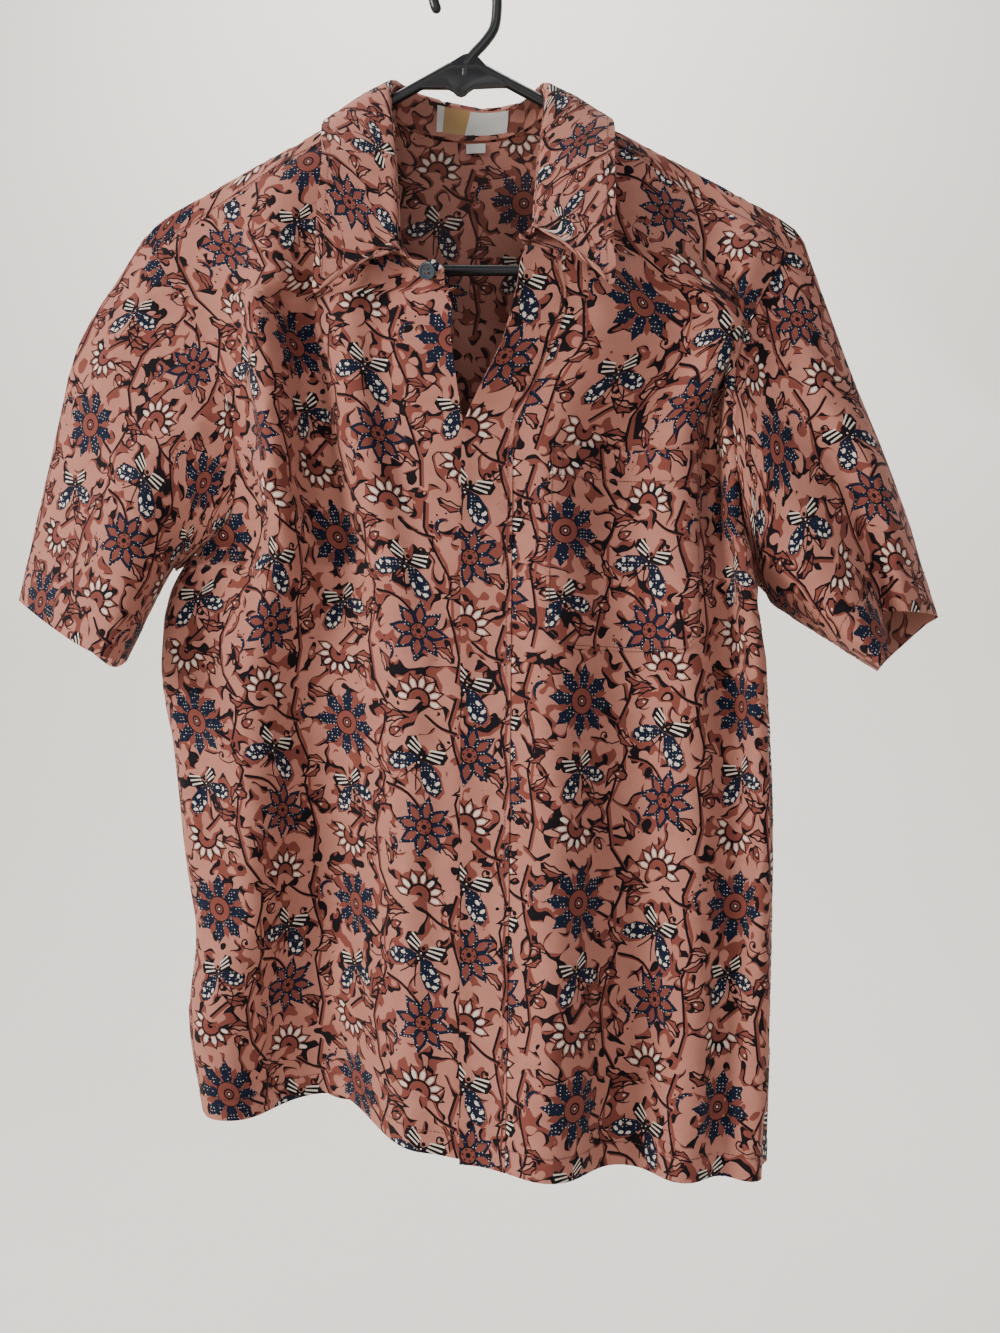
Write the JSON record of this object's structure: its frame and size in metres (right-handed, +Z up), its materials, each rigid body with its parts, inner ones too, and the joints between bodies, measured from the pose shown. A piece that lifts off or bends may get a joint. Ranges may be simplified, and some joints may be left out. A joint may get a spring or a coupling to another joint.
{
  "type": "short-sleeve shirt on a hanger",
  "caption": "Short-sleeve printed shirt with turn-down collar, covered placket and chest pocket, hanging open at the neck on a plastic hanger.",
  "frame": {"origin": "inner top of the hanger's hook, where a rail or nail carries it", "axes": "+Z up, along the length of the hanging shirt; X across the shoulders toward the viewer's right; Y through the shirt, away from the viewer who faces its front"},
  "size_m": [0.6525, 0.1774, 0.8306],
  "materials": {
    "cloth_fronts": "matte, printed in dark lines, navy and cream",
    "cloth_back": "matte, printed in dark lines, navy and cream",
    "cloth_sleeves": "matte, printed in dark lines, navy and cream",
    "cloth_collar": "matte, printed in dark lines, navy and cream",
    "cloth_trim": "matte, printed in dark lines, navy and cream",
    "hanger_plastic": "satin black",
    "button_shell": "glossy dark",
    "label_satin": "satin"
  },
  "bodies": {
    "root": {"front_right": "cloth_fronts", "front_left": "cloth_fronts", "back": "cloth_back", "sleeve_right": "cloth_sleeves", "sleeve_left": "cloth_sleeves", "collar_stand": "cloth_collar", "collar_leaf": "cloth_collar", "placket": "cloth_trim", "chest_pocket": "cloth_trim", "hanger": "hanger_plastic", "top_button": "button_shell", "neck_label": "label_satin", "size_tag": "label_satin"}
  },
  "joints": []
}
